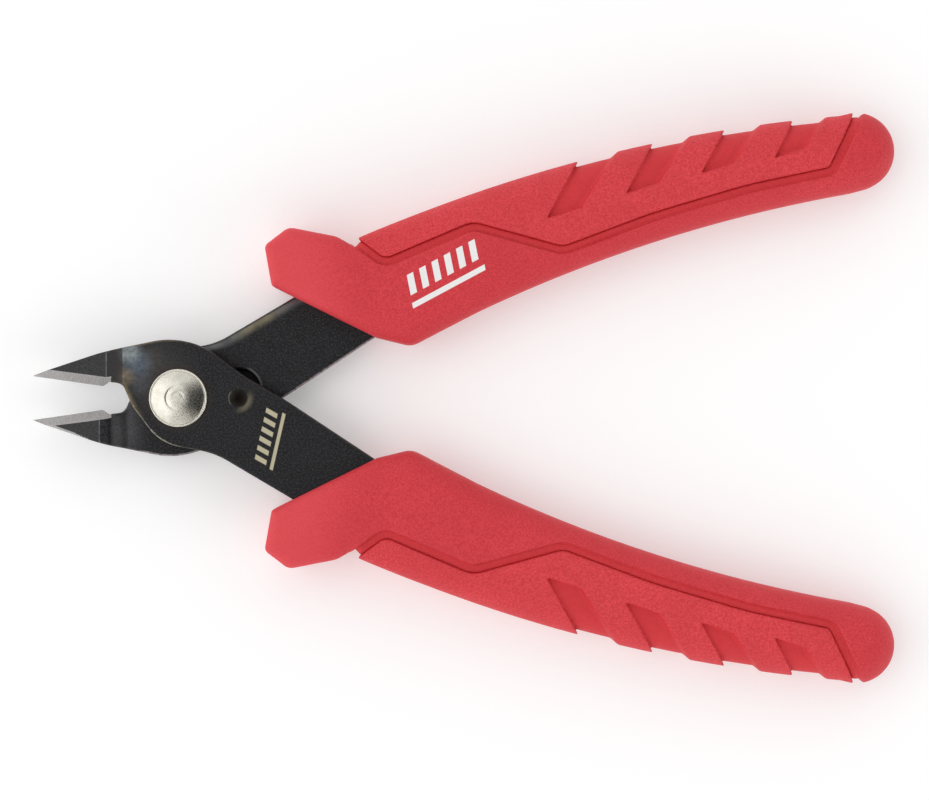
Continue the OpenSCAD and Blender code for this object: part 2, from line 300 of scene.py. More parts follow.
def front_tints_and_painted_light(m, colour, rest, inset):
    """Straw and blue left on the front half by hardening of the jaws, partly painted sheen on the disc, with
    a painted highlight along the disc's top edge, painted shade round the rivet and on the joggle, and the
    dimple's painted light and shade.
    """
    broken = m.ramp(m.noise(rest, 1.6, 4, 0.7), 0.3, 0.7, 0.45, 1.0)
    # burnish on the disc left of the rivet, partly painted sheen
    burnish_and_sheen = m.near(rest, (-3.6, 3.8, plate_t), 1.0, 8.0)
    colour = m.mix(m.times(burnish_and_sheen, broken), colour, BURNISH_AND_SHEEN)
    # spots of hardening tint, partly painted sheen
    for centre, inner, outer, tint, share in tint_and_sheen_spots:
        colour = m.mix(m.times(m.near(rest, centre, inner, outer), broken, share), colour, tint)
    straw = m.times(m.ramp(inset, 0.1, 0.9, 1, 0), m.near(rest, (-6.9, 0.2, plate_t), 0.6, 4.4), broken, 0.8)
    colour = m.mix(straw, colour, STRAW_EDGE)
    # painted highlight, straw-coloured, along the disc's top edge
    crest_highlight = m.times(m.ramp(inset, 0.05, 0.3, 1, 0), m.near(rest, (-3.5, 8.4, plate_t), 2.5, 5.5), 0.6)
    colour = m.mix(crest_highlight, colour, STRAW_CREST_HIGHLIGHT)
    # painted shade: a faint dark brown ring round the rivet's head
    rivet_shade = m.times(m.band(m.reach(rest), head_r + 0.3, 0.1, 0.7), 0.2)
    colour = m.mix(rivet_shade, colour, RIVET_SHADE_RING)
    colour = dimple_light_and_shade(m, colour, rest)
    # painted shade on the joggle's slope toward the jaw
    joggle = m.times(m.ramp(m.split(rest)[0], outer_bend[0] - 0.1, outer_bend[0], 1, 0), 0.75)
    return m.mix(joggle, colour, JOGGLE_SHADE)


def arm_painted_light(m, colour, p, rest, inset):
    """The rear half: a painted grey and straw highlight along its rolled edge, a painted highlight on the
    pocket's lip, painted shade on the pocket's floor, and a painted sheen on the ramp.
    """
    x, y, z = m.split(p)
    # painted highlight along the rolled edge, grey with straw toward the arm's middle
    rolled = m.times(m.ramp(inset, 0.15, 0.45), m.ramp(inset, 0.5, 1.9, 1, 0), m.ramp(y, 6.0, 7.0))
    sheen = m.mix(m.near(p, (13.5, 9.5, 0), 1.0, 5.5), ARM_SHEEN_GREY, ARM_SHEEN_STRAW)
    faded = m.ramp(m.noise(rest, 0.35, 2, 0.5), 0.3, 0.6, 0.55, 1.0)
    colour = m.mix(m.times(rolled, faded), colour, sheen)
    # painted highlight on the right side of the pocket's lip
    lip = m.band(m.near(p, (stud_x, 0, 0), 0, 2 * pocket_r), 0.41, 0.02, 0.05)
    colour = m.mix(m.times(lip, m.ramp(x, 10.5, 11.5), 0.8), colour, POCKET_LIP_HIGHLIGHT)
    # painted sheen, mottled, on the ramp near the pivot
    mottled = m.ramp(m.noise(rest, 1.8, 4, 0.75), 0.3, 0.65, 0.55, 1.0)
    ramp = m.times(m.ramp(x, -9.0, -5.0, 1, 0), m.ramp(y, -9.5, -3.0), mottled,
                   m.ramp(m.split(rest)[0], -10.6, -10.1), 0.9)
    colour = m.mix(ramp, colour, RAMP_SHEEN_GREY)
    # painted shade on everything below the inner face, seen on the pocket's floor
    return m.mix(m.ramp(z, -1.2, -0.5, 0.85, 0), colour, POCKET_FLOOR_SHADE)


def jaw_face_mask(m, rest, line):
    """1 on the ground and granular part of a jaw, beyond its bend line."""
    return m.ramp(m.split(rest)[0], line - 0.05, line + 0.05, 1, 0)


def bend_line(m, colour, rest, line):
    """The thin pale line where the grinding of the jaw's face begins."""
    faded = m.ramp(m.noise(rest, 0.9, 3, 0.7), 0.35, 0.6, 0.25, 0.7)
    return m.mix(m.times(m.band(m.split(rest)[0], line, 0.02, 0.14), faded), colour, BEND_GREY)


def rubbed_and_highlit_rim(m, colour, p, rest, inset, front):
    """Oxide rubbed through along the outline, with a painted edge highlight that is strongest at the lap's
    lower left and the rear half's lower edge, and a painted highlight on the sheared walls, strong on the
    rear half and faint on the front."""
    rub = m.ramp(m.noise(rest, 1.6, 4, 0.7), 0.35, 0.6, 0.35, 1.0)
    x, y, z = m.split(p)
    # the lap's lower left and the rear half's lower edge get most: a painted edge highlight over the wear
    if front:
        lower_left = m.near(rest, (-4.6, -4.4, plate_t), 3.2, 6.5)
        wear_and_highlight = m.math("MULTIPLY_ADD", lower_left, 0.8, 0.10)
    else:
        lower_edge = m.ramp(m.math("MULTIPLY_ADD", x, -0.45, y), -4.5, -3.5, 1, 0)
        wear_and_highlight = m.math("MULTIPLY_ADD", lower_edge, 0.8, 0.12)
    wear_and_highlight = m.times(m.ramp(inset, 0.04, 0.30, 1, 0), rub, wear_and_highlight)
    colour = m.mix(wear_and_highlight, colour, FRONT_RUB_AND_HIGHLIGHT if front else REAR_RUB_AND_HIGHLIGHT)
    # painted highlight on the sheared walls: pale on the rear half, a dim grey on the front
    sheared = m.times(m.band(z, -plate_t / 2, 0.85, 1.05), m.ramp(inset, 0.03, 0.1, 0.9, 0))
    return m.mix(sheared, colour, FRONT_WALL if front else REAR_WALL_HIGHLIGHT)


def bevel_mask(m, p, side):
    """1 on the ground bevel beside a cutting edge."""
    x, y, z = m.split(p)
    slope = bevel_w / plate_t
    rise = m.math("MULTIPLY", m.math("ADD", z, side * half_t), slope * side)
    off = m.math("DIVIDE", m.math("ADD", m.math("ADD", y, edge_gap / 2), rise), math.hypot(1, slope))
    return m.times(m.band(off, 0, 0.05, 0.09), m.ramp(x, bevel_end - 0.05, bevel_end + 0.05, 1, 0))


def dressed_edge_mask(m, p, inset):
    """1 on the narrow chamfer dressed along the outer edge of the lower jaw."""
    x, y, z = m.split(p)
    width = m.ramp(x, dressed_full, dressed_end, dressed_w, 0)
    near_edge = m.ramp(m.math("SUBTRACT", width, inset), -0.02, 0.04)
    upper = m.ramp(z, half_t - 0.75, half_t - 0.6)
    level = m.math("MULTIPLY_ADD", x, -dressed_slope, y)
    return m.times(near_edge, upper, m.ramp(level, -dressed_level - 0.1, -dressed_level + 0.1, 1, 0))


def ground_colour(m, p):
    """Bare steel left by the wheel, its lines running across the edge, and the lines' height."""
    stretch = m.add("ShaderNodeVectorMath", operation="MULTIPLY")
    m.link(p, stretch.inputs[0])
    stretch.inputs[1].default_value = (8.0, 1.0, 1.0)
    lines = m.noise(stretch.outputs[0], 1.0, 4, 0.7)
    speck = m.noise(p, 7.0, 4, 0.75)
    colour = m.mix(m.ramp(lines, 0.3, 0.7), GROUND_DARK, GROUND_PALE)
    return m.mix(m.ramp(speck, 0.6, 0.75, 0, 0.4), colour, GROUND_PIT), lines


def plate_steel(name, place, side):
    """Black oxide over the stamped half, bare where it was ground."""
    front = side < 0
    m = Nodes(name)
    p, rest = m.place(place), m.place(REST)
    inset = m.attribute("inset")
    line = outer_bend[1] if front else taper_start
    colour = oxide_colour(m, rest)
    if front:
        colour = front_tints_and_painted_light(m, colour, rest, inset)
    else:
        colour = arm_painted_light(m, colour, p, rest, inset)
    colour = rubbed_and_highlit_rim(m, colour, p, rest, inset, front)
    jaw = jaw_face_mask(m, rest, line)
    granular = m.ramp(m.noise(p, 5.5, 4, 0.8), 0.35, 0.7)
    colour = m.mix(jaw, colour, m.mix(granular, JAW_DARK, JAW_PALE))
    colour = bend_line(m, colour, rest, line)
    bare = bevel_mask(m, p, side)
    if front:
        colour = m.mix(mark_mask(m, rest, plate_mark), colour, PLATE_INK)
    else:
        bare = m.math("MAXIMUM", bare, dressed_edge_mask(m, p, inset))
    steel, lines = ground_colour(m, p)
    m.link(m.mix(bare, colour, steel), m.shader.inputs["Base Color"])
    m.set(Metallic=0.7)
    grain = m.noise(rest, 6.0, 5, 0.7)
    m.link(m.ramp(grain, 0.2, 0.8, 0.36, 0.55), m.shader.inputs["Roughness"])
    height = m.math("ADD", m.math("MULTIPLY", grain, 0.5), m.times(granular, jaw))
    height = m.math("ADD", height, m.times(lines, bare))
    m.link(m.bump(height, 0.00003, 0.6), m.shader.inputs["Normal"])
    return m.material


def nickel(name):
    """Nickel-plated rivet, lightly pitted by the setting tool and stained at its lower right."""
    m = Nodes(name)
    p = m.place(REST)
    pits = m.noise(p, 7.0, 4, 0.7)
    cloud = m.noise(p, 0.8, 3)
    colour = m.mix(m.ramp(cloud, 0.3, 0.7), NICKEL_DARK, NICKEL_PALE)
    colour = m.mix(m.ramp(pits, 0.58, 0.72, 0, 0.6), colour, NICKEL_PIT)
    stained = m.times(m.near(p, (1.4, -2.6, plate_t + 0.8), 0.8, 3.2), m.ramp(pits, 0.44, 0.62), 0.7)
    m.link(m.mix(stained, colour, NICKEL_STAIN), m.shader.inputs["Base Color"])
    m.set(Metallic=1.0)
    m.link(m.ramp(pits, 0.3, 0.75, 0.15, 0.32), m.shader.inputs["Roughness"])
    m.link(m.bump(pits, 0.00004, 0.5), m.shader.inputs["Normal"])
    return m.material


def spring_wire(name):
    """Drawn spring wire."""
    m = Nodes(name)
    m.link(m.mix(m.noise(m.place(REST), 8.0, 3), WIRE_DARK, WIRE_PALE), m.shader.inputs["Base Color"])
    m.set(Metallic=1.0, Roughness=0.3)
    return m.material


# ---- grip materials ----

def grip_plastic(name, place, coarse, mark=False):
    """Red moulded grip: a fine spark texture on the core, a coarser one on the pad."""
    m = Nodes(name)
    p = m.place(place)
    grain = m.noise(p, 3.5 if coarse else 3.9, 3, 0.65)
    fine = m.noise(p, 7.0, 2, 0.6)
    cloud = m.noise(p, 0.12, 3)
    colour = m.mix(m.ramp(grain, 0.33, 0.67), *(PAD_REDS if coarse else CORE_REDS))
    colour = m.mix(m.ramp(cloud, 0.35, 0.7, 0, 0.3), colour, CLOUD_RED)
    # painted highlight: the flare lighter toward its front end, where its rounded front faces the key light
    colour = m.mix(m.ramp(m.split(p)[0], 20, 31, 0.5, 0), colour, FLARE_HIGHLIGHT_RED)
    # painted shade: the pad's recess floors are darkened; the channel floor gets its own red
    floor = m.attribute("recess")
    share, floor_red = (0.7, RECESS_SHADE_RED) if coarse else (0.55, CHANNEL_RED)
    colour = m.mix(m.times(floor, share), colour, floor_red)
    if mark:
        colour = m.mix(mark_mask(m, p, grip_mark), colour, GRIP_INK)
    m.link(colour, m.shader.inputs["Base Color"])
    m.set(Specular_IOR_Level=0.35)
    m.link(m.ramp(grain, 0.2, 0.8, 0.52, 0.68), m.shader.inputs["Roughness"])

    # recess floors are smoother than the pad, and the channel floor is rougher than the core
    height = m.math("MULTIPLY_ADD", fine, 0.5, grain)
    height = m.times(height, m.math("MULTIPLY_ADD", floor, -0.6 if coarse else 1.0, 1.0))
    m.link(m.bump(height, 0.00014 if coarse else 0.00006, 0.8), m.shader.inputs["Normal"])
    return m.material


def printed_mark(centre, degrees, floor, bars, bar_v, bar_half, line):
    """A generic mark: equal slanted bars over a plain line, as (along, across, half sizes) boxes."""
    return {"centre": centre, "angle": math.radians(degrees), "slant": 0.30, "floor": floor,
            "bars": [(u, bar_v, *bar_half) for u in bars] + [line]}


grip_mark = printed_mark((42.7, 12.9), 20, 0.5, (-5.4, -3.3, -1.2, 0.9, 3.0, 5.1), 0.9, (0.55, 1.5),
                         (0.2, -2.1, 6.2, 0.42))
plate_mark = printed_mark((13.8, -6.1), 77, 1.5, (-3.6, -2.15, -0.7, 0.75, 2.2, 3.65), 0.5, (0.38, 0.95),
                          (0.2, -1.35, 4.4, 0.28))


def mark_mask(m, p, mark):
    """1 on the bars of a printed mark, on one face of the part."""
    x, y, z = m.split(p)
    cos, sin = math.cos(mark["angle"]), math.sin(mark["angle"])
    dx = m.math("SUBTRACT", x, mark["centre"][0])
    dy = m.math("SUBTRACT", y, mark["centre"][1])
    across = m.math("SUBTRACT", m.math("MULTIPLY", dy, cos), m.math("MULTIPLY", dx, sin))
    along = m.math("ADD", m.math("MULTIPLY", dx, cos), m.math("MULTIPLY", dy, sin))
    along = m.math("SUBTRACT", along, m.math("MULTIPLY", across, mark["slant"]))
    mask = None
    for u, v, half_u, half_v in mark["bars"]:
        du = m.math("SUBTRACT", half_u, m.math("ABSOLUTE", m.math("SUBTRACT", along, u)))
        dv = m.math("SUBTRACT", half_v, m.math("ABSOLUTE", m.math("SUBTRACT", across, v)))
        bar = m.ramp(m.math("MINIMUM", du, dv), -0.03, 0.06)
        mask = bar if mask is None else m.math("MAXIMUM", mask, bar)
    return m.times(mask, m.ramp(z, mark["floor"], mark["floor"] + 0.3))


# ---- rivet: one turned solid with a shallow swirl in its head ----

swirl_r = 2.6


def lathe(rings, steps, depth):
    """A closed turned mesh from (radius, height) rings, sunk by depth; a radius of 0 is a pole."""
    verts, faces, index = [], [], []
    for r, z in rings:
        if r == 0:
            index.append([len(verts)])
            verts.append((0, 0, z - depth(0, 0, z)))
            continue
        index.append(list(range(len(verts), len(verts) + steps)))
        for k in range(steps):
            a = 2 * math.pi * k / steps
            verts.append((r * math.cos(a), r * math.sin(a), z - depth(r, a, z)))
    for low, high in zip(index, index[1:]):
        for k in range(steps):
            j = (k + 1) % steps
            if len(low) == 1:
                faces.append((low[0], high[j], high[k]))
            elif len(high) == 1:
                faces.append((low[k], low[j], high[0]))
            else:
                faces.append((low[k], low[j], high[j], high[k]))
    return verts, faces


def swirl(r, a, z):
    """Depth of the open ring and the shallow dish left by the setting tool, on the front head only."""
    if z < plate_t or r > swirl_r:
        return 0
    turn = math.degrees(a) % 360
    ring = math.exp(-((r - 1.7) / 0.22) ** 2) * max(0, math.cos(math.radians(turn - 165) * 0.85))
    inner = math.exp(-((r - 0.8) / 0.2) ** 2) * max(0, math.cos(math.radians(turn - 80)))
    dish = 0.5 * (1 + math.cos(math.pi * min(1, r / 1.9)))
    return 0.09 * ring + 0.035 * inner + 0.05 * dish


def head_profile(radius, top, seat, flange=0.3):
    """Rings of a head: a thin flange, a valley inside it, and the crown."""
    edge = seat + (top - seat) * 0.34
    valley = radius - flange
    rings = [(radius - 0.12, seat), (radius - 0.03, seat + 0.06)]
    rings += [(radius - 0.1 + 0.1 * math.cos(t), edge - 0.1 + 0.1 * math.sin(t))
              for t in np.linspace(0, 1.4, 5)]
    rings += [(valley + 0.08, edge - 0.01), (valley, edge - 0.04), (valley - 0.05, edge + 0.02)]
    foot = valley - 0.22
    rise = top - edge - 0.16
    ball = (foot * foot + rise * rise) / (2 * rise)
    lean = math.asin(foot / ball)
    rings += [(foot + 0.17 * math.cos(t), edge + 0.16 - 0.13 * (1 - math.sin(t)))
              for t in np.linspace(0.1, 1.1, 4)]
    crown = [(ball * math.sin(t), top - ball + ball * math.cos(t)) for t in np.linspace(lean, 0, 46)]
    return rings + [(r, z) for r, z in crown[:-1]] + [(0, top)]


def rivet():
    """Both heads and the shank, as one turned piece."""
    head = head_profile(head_r, head_top, plate_t + 0.02)
    tail = head_profile(tail_r, tail_top, plate_t + 0.01)
    rings = [(r, -z) for r, z in reversed(tail)] + [(shank_r, -plate_t), (shank_r, plate_t)] + head
    verts, faces = lathe(rings, 160, swirl)
    mesh = drawn_mesh("pivot_rivet_turned", verts, faces)
    piece = new_object("rivet", mesh, nickel("nickel_plate"), "rear_half", ["pivot_rivet"])
    piece.modifiers.new("normals", "WEIGHTED_NORMAL")


# ---- return spring: round wire along the CAD spring's path ----

def tube(points, radius, sides=12):
    """A closed round tube along points."""
    verts, faces = [], []
    n = len(points)
    for i, p in enumerate(points):
        t = (points[min(i + 1, n - 1)] - points[max(i - 1, 0)]).normalized()
        side = t.cross(Vector((0, 1, 0)) if abs(t.z) > 0.8 else Vector((0, 0, 1))).normalized()
        up = side.cross(t)
        for k in range(sides):
            a = 2 * math.pi * k / sides
            verts.append(p + radius * (math.cos(a) * side + math.sin(a) * up))
    for i in range(n - 1):
        for k in range(sides):
            a, b = i * sides, (k + 1) % sides
            faces.append((a + k, a + b, a + sides + b, a + sides + k))
    faces.append(tuple(reversed(range(sides))))
    faces.append(tuple((n - 1) * sides + k for k in range(sides)))
    return verts, faces


def spring():
    """The hooked end in the front half, the coil round the stud, and the leg to the rear half."""
    end = Matrix.Rotation(half_open, 2) @ Vector(leg_end)
    run = end - Vector((stud_x, 0))
    leave = math.atan2(run.y, run.x) + math.acos(coil_r / run.length)
    top, pitch = -0.27, 2 * wire_r + 0.03
    steps = 72
    coil = []
    for i in range(steps + 1):
        k = i / steps
        a = leave + 2 * math.pi * coil_turns * (1 - k)
        z = top - pitch * coil_turns * k
        coil.append(Vector((stud_x + coil_r * math.cos(a), coil_r * math.sin(a), z)))
    rise = [Vector((coil[0].x, coil[0].y, z)) for z in (0.9, 0.3)]
    last = coil[-1]
    leg = [last.lerp(Vector((end.x, end.y, last.z)), k / 6) for k in range(1, 7)]
    verts, faces = tube(rise + coil + leg, wire_r)
    mesh = drawn_mesh("spring_wire_mesh", verts, faces)
    wire = spring_wire("spring_wire")
    piece = new_object("spring_coil", mesh, wire, None, ["return_spring"])
    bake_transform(piece)


# ---- grips: distance fields drawn from the same outline as the CAD, meshed finely ----

GRIP_STEP = 0.2
end_c, end_r = (107.05, 22.4), 5.9
inner_arc = (112.3, -204.5, 220.9)
outer_arc = (91.9, -200.0, 228.5)
channel_w, channel_depth, pad_depth = 1.3, 0.7, 1.9
flare_edge_r, body_edge_r, edge_change = 1.5, 3.6, (28, 44)
crown_rise, crown_reach = 0.3, 6
notch_depth, notch_ramp, notch_rise = 0.75, 0.4, 0.9
notch_x = (59.1, 71.5, 83.1, 94.4)
notch_y = (18.85, 20.9, 22.25, 22.95)
notch_w = (5.5, 5.2, 5.2, 5.0)
notch_lean = (6.9, 5.3, 4.4, 3.6)


def rounded(corners, step=6):
    """A closed outline of (x, y, radius) corners, as points no more than step degrees apart."""
    points = []
    n = len(corners)
    for i in range(n):
        a, p, b = (np.array(corners[j % n][:2], float) for j in (i - 1, i, i + 1))
        r = corners[i][2]
        if r <= 0:
            points.append(p)
            continue
        u, v = (a - p) / np.linalg.norm(a - p), (b - p) / np.linalg.norm(b - p)
        half = math.acos(np.clip(u @ v, -1, 1)) / 2
        c = p + (u + v) / np.linalg.norm(u + v) * r / math.sin(half)
        s, e = p + u * r / math.tan(half) - c, p + v * r / math.tan(half) - c
        a0 = math.atan2(s[1], s[0])
        sweep = (math.atan2(e[1], e[0]) - a0 + math.pi) % (2 * math.pi) - math.pi
        parts = max(2, math.ceil(abs(math.degrees(sweep)) / step))
        for k in range(parts + 1):
            t = a0 + sweep * k / parts
            points.append(c + r * np.array([math.cos(t), math.sin(t)]))
    return np.array(points)


def arc_points(arc, x0, x1, n):
    """Points from x0 to x1 on the upper side of an (x, y, radius) circle."""
    x = np.linspace(x0, x1, n)
    return np.c_[x, arc[1] + np.sqrt(arc[2] ** 2 - (x - arc[0]) ** 2)]


def grip_outline():
    """The grip seen from above: thumb flare, knuckle, two long arcs and a round end."""
    front = rounded([(30.3, 20.05, 0), (29.3, 19.2, 0.5), (27.3, 20.75, 3), (20.3, 23.2, 2), (16.3, 20.95, 1),
                     (16.5, 14.75, 0.8), (30.9, 4.85, 1.5), (36.1, 2.75, 3), (46.6, 6.4, 0)])
    t = np.radians(np.linspace(-86, 86, 40))
    cap = np.array(end_c) + end_r * np.c_[np.cos(t), np.sin(t)]
    return np.vstack([front, arc_points(inner_arc, 48, 105.5, 40), cap, arc_points(outer_arc, 105.5, 31, 48)])


def pad_outline():
    """Everything outward of the channel's centre line."""
    return rounded([(28.2, 21.3, 0), (33.9, 15.65, 2.4), (47.9, 19.35, 3.5), (60.9, 13.7, 3.5),
                    (75, 16.8, 60), (90, 19.0, 60), (102.7, 19.8, 1.5), (110.2, 31, 0), (60, 60, 0)])


def outline_distance(x, y, outline):
    """Distance from points to a closed outline, negative inside."""
    best = np.full(x.shape, 1e9)
    inside = np.zeros(x.shape, bool)
    for a, b in zip(outline, np.roll(outline, -1, axis=0)):
        e = b - a
        wx, wy = x - a[0], y - a[1]
        t = np.clip((wx * e[0] + wy * e[1]) / max(e @ e, 1e-12), 0, 1)
        best = np.minimum(best, (wx - t * e[0]) ** 2 + (wy - t * e[1]) ** 2)
        crosses = (a[1] > y) != (b[1] > y)
        if e[1]:
            inside ^= crosses & (wx < wy * e[0] / e[1])
    return np.where(inside, -1, 1) * np.sqrt(best)


def blunt_max(a, b, k):
    """The larger of two fields, with the crease between them rounded over about k."""
    h = np.maximum(k - np.abs(a - b), 0)
    return np.maximum(a, b) + h * h / (4 * k)


def sample_axes(low, high, step):
    """A plane of sample places and the heights above it."""
    xs, ys, zs = (a + step * np.arange(math.ceil((b - a) / step) + 1) for a, b in zip(low, high))
    x, y = np.meshgrid(xs, ys, indexing="ij")
    return x, y, zs


def ease(v, low, high):
    """0 below low, 1 above high, smooth between."""
    t = np.clip((v - low) / (high - low), 0, 1)
    return t * t * (3 - 2 * t)


def line_side(x, y, p, q):
    """Signed distance from the line p-q, positive to its right."""
    d = np.array(q, float) - np.array(p, float)
    d /= np.linalg.norm(d)
    return (x - p[0]) * d[1] - (y - p[1]) * d[0]


def mesh_field(field, low, step):
    """Quads on the zero surface of a distance field sampled every step from the corner low."""
    grid = openvdb.FloatGrid(3 * step)
    grid.copyFromArray(np.ascontiguousarray(np.clip(field, -3 * step, 3 * step).astype(np.float32)))
    points, quads = grid.convertToQuads(isovalue=0.0)
    return points * step + np.array(low), quads


def grip_fields():
    """Distance fields of core and pad, and maps of the channel's and the recesses' floors."""
    low = np.array([13.8, 0.6, -half_grip - 0.6])
    high = np.array([114.0, 30.4, half_grip + 0.6])
    x, y, zs = sample_axes(low, high, GRIP_STEP)
    outline = outline_distance(x, y, grip_outline())
    region = outline_distance(x, y, pad_outline())

    # rounded slab: tighter edges at the flare, a slight crown along the middle
    radius = flare_edge_r + (body_edge_r - flare_edge_r) * ease(x, *edge_change)
    crown = crown_rise * np.clip(1 + outline / crown_reach, 0, 1) ** 2
    qx = (outline + radius)[:, :, None]
    qz = np.abs(zs)[None, None, :] - (half_grip - radius - crown)[:, :, None]
    skin = (np.minimum(np.maximum(qx, qz), 0) + np.hypot(np.maximum(qx, 0), np.maximum(qz, 0))
            - radius[:, :, None])

    # the core: a channel on both sides of the pad's outline, and the pad's seat inside it
    wall = region[:, :, None]
    channel = np.minimum(channel_w / 2 - wall, skin + channel_depth)
    seat = np.minimum(-channel_w / 2 - wall, skin + pad_depth)
    core = blunt_max(blunt_max(skin, channel, 0.22), seat, 0.1)

    # the pad: a recess for each finger, deepest at its left and lower walls, ramping up to its right
    pad = skin
    recess = np.zeros(x.shape)
    for nx, ny, w, lean in zip(notch_x, notch_y, notch_w, notch_lean):
        top = (nx + lean, 28.0)
        left = line_side(x, y, (nx, ny), top)
        corner = (nx + w, ny + notch_rise)
        floor = -line_side(x, y, (nx, ny), corner)
        right = -line_side(x, y, corner, (top[0] + w + 1.0, top[1] + notch_rise))
        mouth = np.minimum(left, floor)[:, :, None]
        steep = notch_depth / notch_ramp
        ramp = (skin + steep * right[:, :, None]) / math.hypot(1, steep)
        cut = np.minimum(np.minimum(mouth, skin + notch_depth), ramp)
        pad = blunt_max(pad, cut, 0.15)
        recess = np.maximum(recess, ease(np.minimum(np.minimum(left, floor), right), -0.1, 0.15))
    pad = blunt_max(pad, wall + channel_w / 2, 0.3)
    pad = np.maximum(pad, -(skin + pad_depth - 0.05))
    groove = ease(channel_w / 2 - np.abs(region), -0.05, 0.2)
    return low, core, pad, groove, recess


def sample_grid(values, low, step, points):
    """Nearest samples of a 2D grid of values at points."""
    i = np.clip(np.rint((points[:, 0] - low[0]) / step).astype(int), 0, values.shape[0] - 1)
    j = np.clip(np.rint((points[:, 1] - low[1]) / step).astype(int), 0, values.shape[1] - 1)
    return values[i, j]


def field_mesh(name, points, quads, place, attribute, values):
    """A smooth mesh of outward-facing quads, placed, with one value at each point."""
    points = np.asarray(points, float)
    quads = np.asarray(quads, int)
    a, b, c = (points[quads[:, k]] for k in (0, 1, 2))
    volume = np.einsum("ij,ij->i", a, np.cross(b, c)).sum()
    if volume < 0:
        quads = quads[:, ::-1]
    mesh = bpy.data.meshes.new(name)
    m = np.array(place)
    mesh.vertices.add(len(points))
    mesh.vertices.foreach_set("co", (points @ m[:3, :3].T + m[:3, 3]).astype(np.float32).ravel())
    mesh.loops.add(quads.size)
    mesh.loops.foreach_set("vertex_index", quads.astype(np.int32).ravel())
    mesh.polygons.add(len(quads))
    mesh.polygons.foreach_set("loop_start", np.arange(0, quads.size, 4, dtype=np.int32))
    mesh.polygons.foreach_set("use_smooth", np.ones(len(quads), bool))
    mesh.update(calc_edges=True)
    mesh.validate()
    mesh.attributes.new(attribute, "FLOAT", "POINT").data.foreach_set("value", values.astype(np.float32))
    return mesh


def grips():
    """Both grips, each a core and a pad, from one pair of fields."""
    low, core, pad, groove, recess = grip_fields()
    core_points, core_quads = mesh_field(core, low, GRIP_STEP)
    pad_points, pad_quads = mesh_field(pad, low, GRIP_STEP)
    core_recess = sample_grid(groove, low, GRIP_STEP, core_points)
    pad_recess = sample_grid(recess, low, GRIP_STEP, pad_points)
    for side, place, body in (("upper", REAR, "rear_half"), ("lower", FRONT, "front_half")):
        mesh = field_mesh(side + "_core_mesh", core_points, core_quads, place, "recess", core_recess)
        red = grip_plastic(side + "_core_red", place, coarse=False, mark=side == "upper")
        new_object(side + "_grip", mesh, red, body, [side + "_grip_core"])
        mesh = field_mesh(side + "_pad_mesh", pad_points, pad_quads, place, "recess", pad_recess)
        red = grip_plastic(side + "_pad_red", place, coarse=True)
        new_object(side + "_pad", mesh, red, body, [side + "_grip_pad"])


# ---- steel plates: the same way, with a finer step ----

PLATE_STEP = 0.13
trimmed_tip = 0.25  # the outline runs on this far, because meshing trims a sharp tip
roll_w, roll_drop = 1.3, 0.4
inner_ease, outer_ease = 0.6, 0.3
jaw_crease, edge_crease, pocket_crease, dimple_crease = 0.06, 0.25, 0.3, 0.15
shank_gap = 0.02
dressed_w, dressed_full, dressed_end = 0.42, -18.0, -13.6
dressed_slope, dressed_level = -0.53, 11.7


def plate_outline():
    """One stamped half seen from above, its cutting edge along the X axis."""
    return rounded([
        (-jaw_len - trimmed_tip, -edge_gap / 2, 0), (-12, -edge_gap / 2, 0), (-11.1, -0.9, 0.3),
        (-8.7, -0.95, 1.5), (-6.75, 2.2, 4), (-1.75, lap_reach - 0.1, 7.5), (6.6, lap_reach + 0.2, 12),
        (29, 16.7, 4), (45, 18.3, 20), (60, 21.1, 40), (88, 24.8, 2.6), (88, 19.4, 2.6), (60, 15.7, 40),
        (45, 12.2, 30), (30.4, 4.75, 6), (16.4, -1.85, 20), (9.4, -4.75, 0), (0, -9.8, 12),
        (-12.6, -5.25, 30)], 3)


def bent(across, reach, xs, zs):
    """Height and slope of a face bent along lines, each bend eased over reach on both sides."""
    order = np.argsort(xs)
    xs, zs = np.array(xs, float)[order], np.array(zs, float)[order]
    height = np.mean([np.interp(across + s, xs, zs) for s in np.linspace(-reach, reach, 13)], axis=0)
    ahead = np.mean([np.interp(across + s + 0.05, xs, zs) for s in np.linspace(-reach, reach, 13)], axis=0)
    return height, (ahead - height) / 0.05


def spring_pocket_field(x, y, zs):
    """The pocket for the coil and the channel for the spring's leg, sunk in the rear half."""
    end = np.array(leg_end) - (stud_x, 0)
    t = np.clip(((x - stud_x) * end[0] + y * end[1]) / (end @ end), 0, 1)
    leg = np.hypot(x - stud_x - t * end[0], y - t * end[1]) - leg_w / 2
    seat = np.hypot(x - leg_end[0], y - leg_end[1]) - leg_seat_r
    plan = np.minimum(np.minimum(np.hypot(x - stud_x, y) - pocket_r, leg), seat)
    return np.maximum(plan[:, :, None], -pocket_depth - zs)


